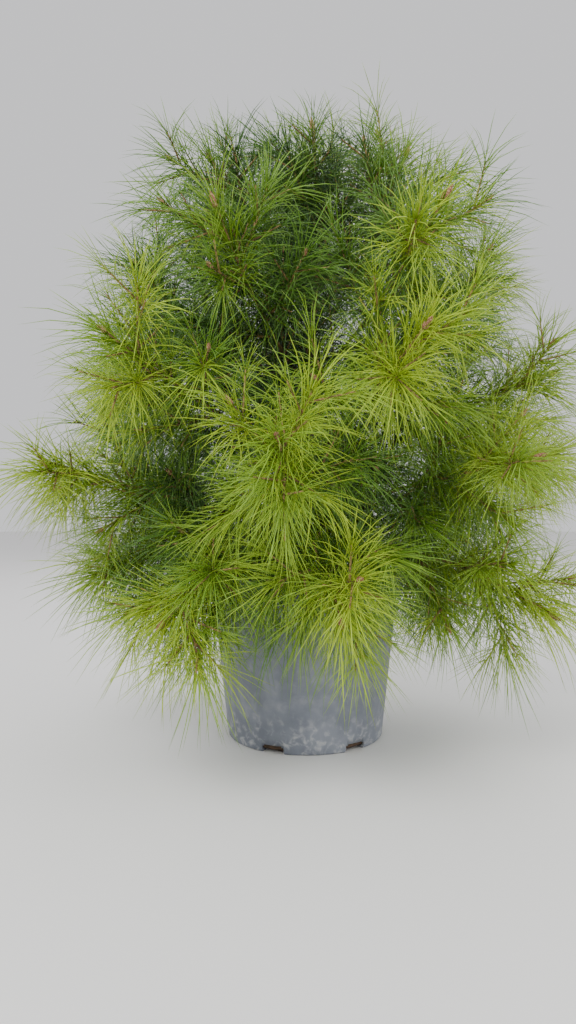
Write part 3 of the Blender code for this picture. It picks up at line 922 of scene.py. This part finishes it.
dealt = {name: [] for name in [*LIT_TO_SHADED_GREENS, "dry"]}
luck = random.Random(SEED)
# The nearer a shoot stands to the crown's middle, the darker the painted shade of its green.
for shoot in shoots:
    share = (OUTER_DEPTH - shoot.depth) / (OUTER_DEPTH - INNER_DEPTH) + luck.uniform(-CHANCE, CHANCE)
    step = int(min(max(share, 0.0), 0.999) * len(LIT_TO_SHADED_GREENS))
    dry = shoot.order == 2 and shoot.path[0].z > DRY_ABOVE and luck.random() < DRY_CHANCE
    dealt["dry" if dry else list(LIT_TO_SHADED_GREENS)[step]].append(shoot)

masses = nodes_named("needles")
share_of_masses = [masses[i::len(LIT_TO_SHADED_GREENS)] for i in range(len(LIT_TO_SHADED_GREENS))]
for number, ((name, colour), standing_for) in enumerate(zip(LIT_TO_SHADED_GREENS.items(), share_of_masses)):
    green = Finish("needle_" + name, colour, 0.42).material
    mesh = dress("needles_" + name, dealt[name], green, FIRST_SEED + number, **GREEN_SPRAY)
    add_piece("needles_" + name, mesh, green, standing_for)
brown = Finish("dry_needle", DRY, 0.7).material
mesh = dress("needles_dry", dealt["dry"], brown, DRY_SEED, **DRY_SPRAY)
add_piece("needles_dry", mesh, brown)
bpy.data.objects.remove(pair)

# %% [markdown]
# ## Buds
# A brown bud of overlapping scales stands at the end of each strong shoot, in the middle of its rosette.
# One bud is a small turned form with stepped rings. A second Geometry Nodes tree sets it on the shoots'
# tips, turned to each shoot's own direction.

# %% Set the buds on the tips
BUD_LENGTH = 0.013
BUD_PROFILE = ((0.0, 0.0), (0.16, 0.0), (0.21, 0.16), (0.17, 0.17), (0.22, 0.36), (0.17, 0.37),
               (0.19, 0.56), (0.14, 0.57), (0.14, 0.74), (0.09, 0.75), (0.07, 0.90), (0.0, 1.0))
BUD_SIDES = 8
SIDE_BUD_CHANCE = 0.45
SIDE_BUD_SIZE = 0.75


def setting_tree():
    """Sets one shape on points, each turned to the point's aim and scaled to its size."""
    t = Tree("shape_on_points", {"Shape": "Object", "Finish": "Material"})
    given = t.inputs
    aim = t.node("GeometryNodeInputNamedAttribute", {"data_type": "FLOAT_VECTOR"}, {"Name": "aim"})
    facing = t.node("FunctionNodeAlignRotationToVector", {"axis": "Z"}, {"Vector": aim})
    shape = t.node("GeometryNodeObjectInfo", {}, {"Object": given["Shape"]}, output="Geometry")
    size = t.attribute("size")
    scale = t.node("ShaderNodeCombineXYZ", {}, {0: size, 1: size, 2: size})
    placed = t.node("GeometryNodeInstanceOnPoints", {},
                    {"Points": given["Geometry"], "Instance": shape, "Rotation": facing, "Scale": scale})
    real = t.node("GeometryNodeRealizeInstances", {}, {"Geometry": placed})
    done = t.node("GeometryNodeSetMaterial", {}, {"Geometry": real, "Material": given["Finish"]})
    t.tree.links.new(done, t.end)
    return t


setting = setting_tree()


def set_out(shape_mesh, places, aims, sizes, material):
    """One mesh with a copy of a shape at each place."""
    shape = bpy.data.objects.new("shape", shape_mesh)
    mesh = bpy.data.meshes.new("places")
    mesh.from_pydata(places, [], [])
    mesh.attributes.new("aim", "FLOAT_VECTOR", "POINT").data.foreach_set("vector", np.ravel(aims))
    mesh.attributes.new("size", "FLOAT", "POINT").data.foreach_set("value", sizes)
    carrier = bpy.data.objects.new("places", mesh)
    for holder in (shape, carrier):
        scene.collection.objects.link(holder)
    placing = carrier.modifiers.new("placing", "NODES")
    placing.node_group = setting.tree
    placing[setting.keys["Shape"]] = shape
    placing[setting.keys["Finish"]] = material
    made = bpy.data.meshes.new_from_object(carrier.evaluated_get(bpy.context.evaluated_depsgraph_get()))
    for spare in (carrier, shape):
        bpy.data.objects.remove(spare)
    for name in ("aim", "size"):
        if name in made.attributes:
            made.attributes.remove(made.attributes[name])
    return made


draw = random.Random(SEED + 2)
tips, aims, sizes = [], [], []
for shoot in shoots:
    if shoot.order == 0 or (shoot.order == 1 and draw.random() < SIDE_BUD_CHANCE):
        tip, aim = along(shoot.path, 1.0)
        tips.append(tip)
        aims.append(aim)
        sizes.append(BUD_LENGTH * draw.uniform(0.7, 1.1) * (1.0 if shoot.order == 0 else SIDE_BUD_SIZE))

bud_finish = Finish("bud_scales", roughness=0.7)
fringe = bud_finish.noise(900, 3)
bud_finish.set(**{
    "Base Color": bud_finish.mix(fringe.ramp(0.45, 0.65), (0.200, 0.080, 0.030), (0.480, 0.300, 0.170)),
    "Normal": bud_finish.bump(fringe, 0.0003),
})
bud_mesh = set_out(turned(BUD_PROFILE, BUD_SIDES), tips, aims, sizes, bud_finish.material)
add_piece("shoot_buds", bud_mesh, bud_finish.material)

# %% [markdown]
# ### Crumbs on the compost
# Loose bark chips lie on the bed. Each is one squashed, uneven lump, and the same tree sets them out.

# %% Scatter the crumbs
CRUMB_COUNT = 900
CRUMB_SIZE = 0.0026
CRUMB_SQUASH = 0.55


def crumb_mesh():
    shape = bmesh.new()
    bmesh.ops.create_icosphere(shape, subdivisions=1, radius=1.0)
    for vertex in shape.verts:
        vertex.co *= 1 + 0.35 * noise.noise(vertex.co * 1.7)
        vertex.co.z *= CRUMB_SQUASH
    mesh = bpy.data.meshes.new("crumb")
    shape.to_mesh(mesh)
    shape.free()
    return mesh


draw = random.Random(SEED + 3)
places, aims, sizes = [], [], []
while len(places) < CRUMB_COUNT:
    radius = (edge - CRUMB_SIZE) * math.sqrt(draw.random())
    size = CRUMB_SIZE * draw.uniform(0.25, 1.0) ** 1.6
    if radius > trunk_radius(SOIL_TOP) + 2 * size:
        places.append(outward(draw.uniform(0, 360)) * radius + Vector((0, 0, soil_height(radius))))
        aims.append(Vector((draw.uniform(-0.6, 0.6), draw.uniform(-0.6, 0.6), 1)).normalized())
        sizes.append(size)
crumb_piece = set_out(crumb_mesh(), places, aims, sizes, compost.material)
add_piece("compost_crumbs", crumb_piece, compost.material, smooth=False)
